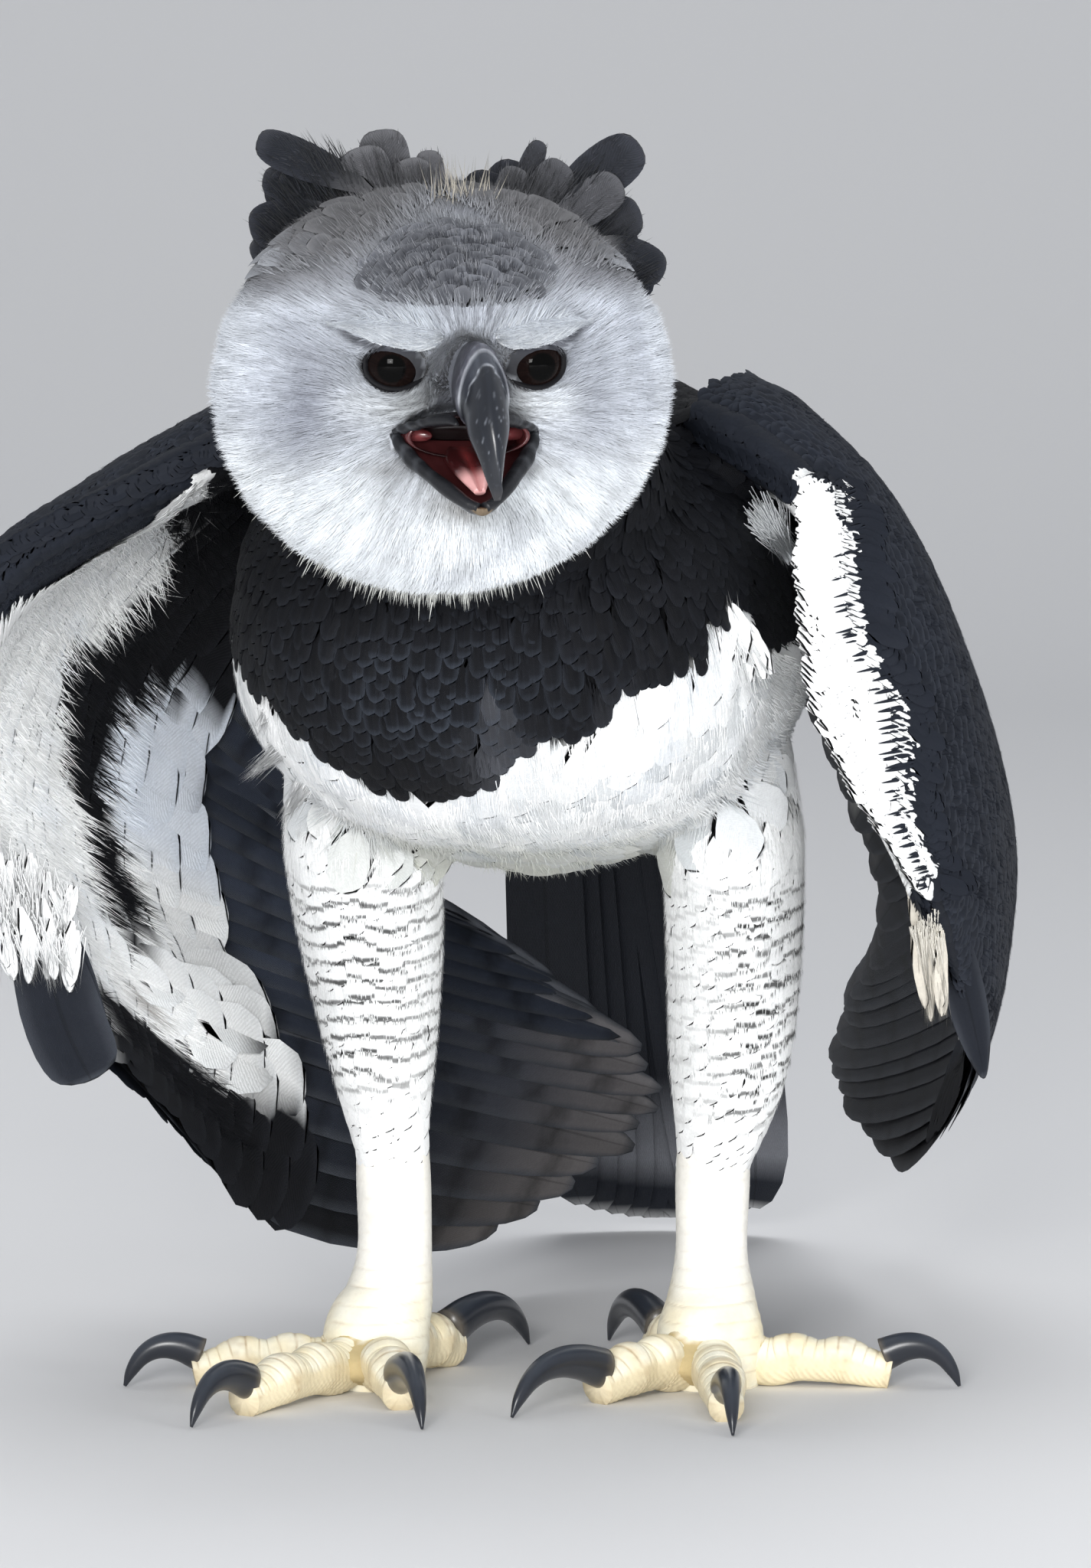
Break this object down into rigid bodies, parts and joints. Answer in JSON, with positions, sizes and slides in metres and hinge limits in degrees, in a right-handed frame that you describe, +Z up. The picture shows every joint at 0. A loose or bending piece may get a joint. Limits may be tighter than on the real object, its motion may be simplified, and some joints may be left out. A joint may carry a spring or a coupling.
{
  "type": "harpy eagle",
  "caption": "Large raptor standing with half-open drooping wings, lowered head, round pale face, dark crest, hooked open bill, barred thighs, long tail and big claws",
  "frame": {"origin": "middle of the bounding box, at the bottom, on the floor under the soles", "axes": "+Z up; the bird looks along -Y and its tail points along +Y; its left side is at +X"},
  "size_m": [0.3976, 0.7086, 0.4705],
  "materials": {
    "face": "pale grey head feathers",
    "crest": "dark grey to black crest feathers",
    "black": "blue-black plumage",
    "white": "white plumage with thin dark bars",
    "wing": "slate-black flight feathers and coverts",
    "bill": "blue-black horn",
    "tongue": "moist flesh",
    "eye": "glossy wet eye",
    "leg": "yellowish scales",
    "claw": "black horn"
  },
  "bodies": {
    "root": {"bill_lower": "bill", "bill_upper": "bill", "claw_left_hind": "claw", "claw_left_inner": "claw", "claw_left_middle": "claw", "claw_left_outer": "claw", "claw_right_hind": "claw", "claw_right_inner": "claw", "claw_right_middle": "claw", "claw_right_outer": "claw", "crest": "crest", "eye_left": "eye", "eye_right": "eye", "head": "face", "neck": "black", "tail": "wing", "tarsus_left": "leg", "tarsus_right": "leg", "thigh_left": "white", "thigh_right": "white", "toe_left_hind": "leg", "toe_left_inner": "leg", "toe_left_middle": "leg", "toe_left_outer": "leg", "toe_right_hind": "leg", "toe_right_inner": "leg", "toe_right_middle": "leg", "toe_right_outer": "leg", "tongue": "tongue", "trunk": "black", "wing_left_alula": "wing", "wing_left_arm": "wing", "wing_left_primaries": "wing", "wing_left_secondaries": "wing", "wing_right_alula": "wing", "wing_right_arm": "wing", "wing_right_primaries": "wing", "wing_right_secondaries": "wing"}
  },
  "joints": []
}
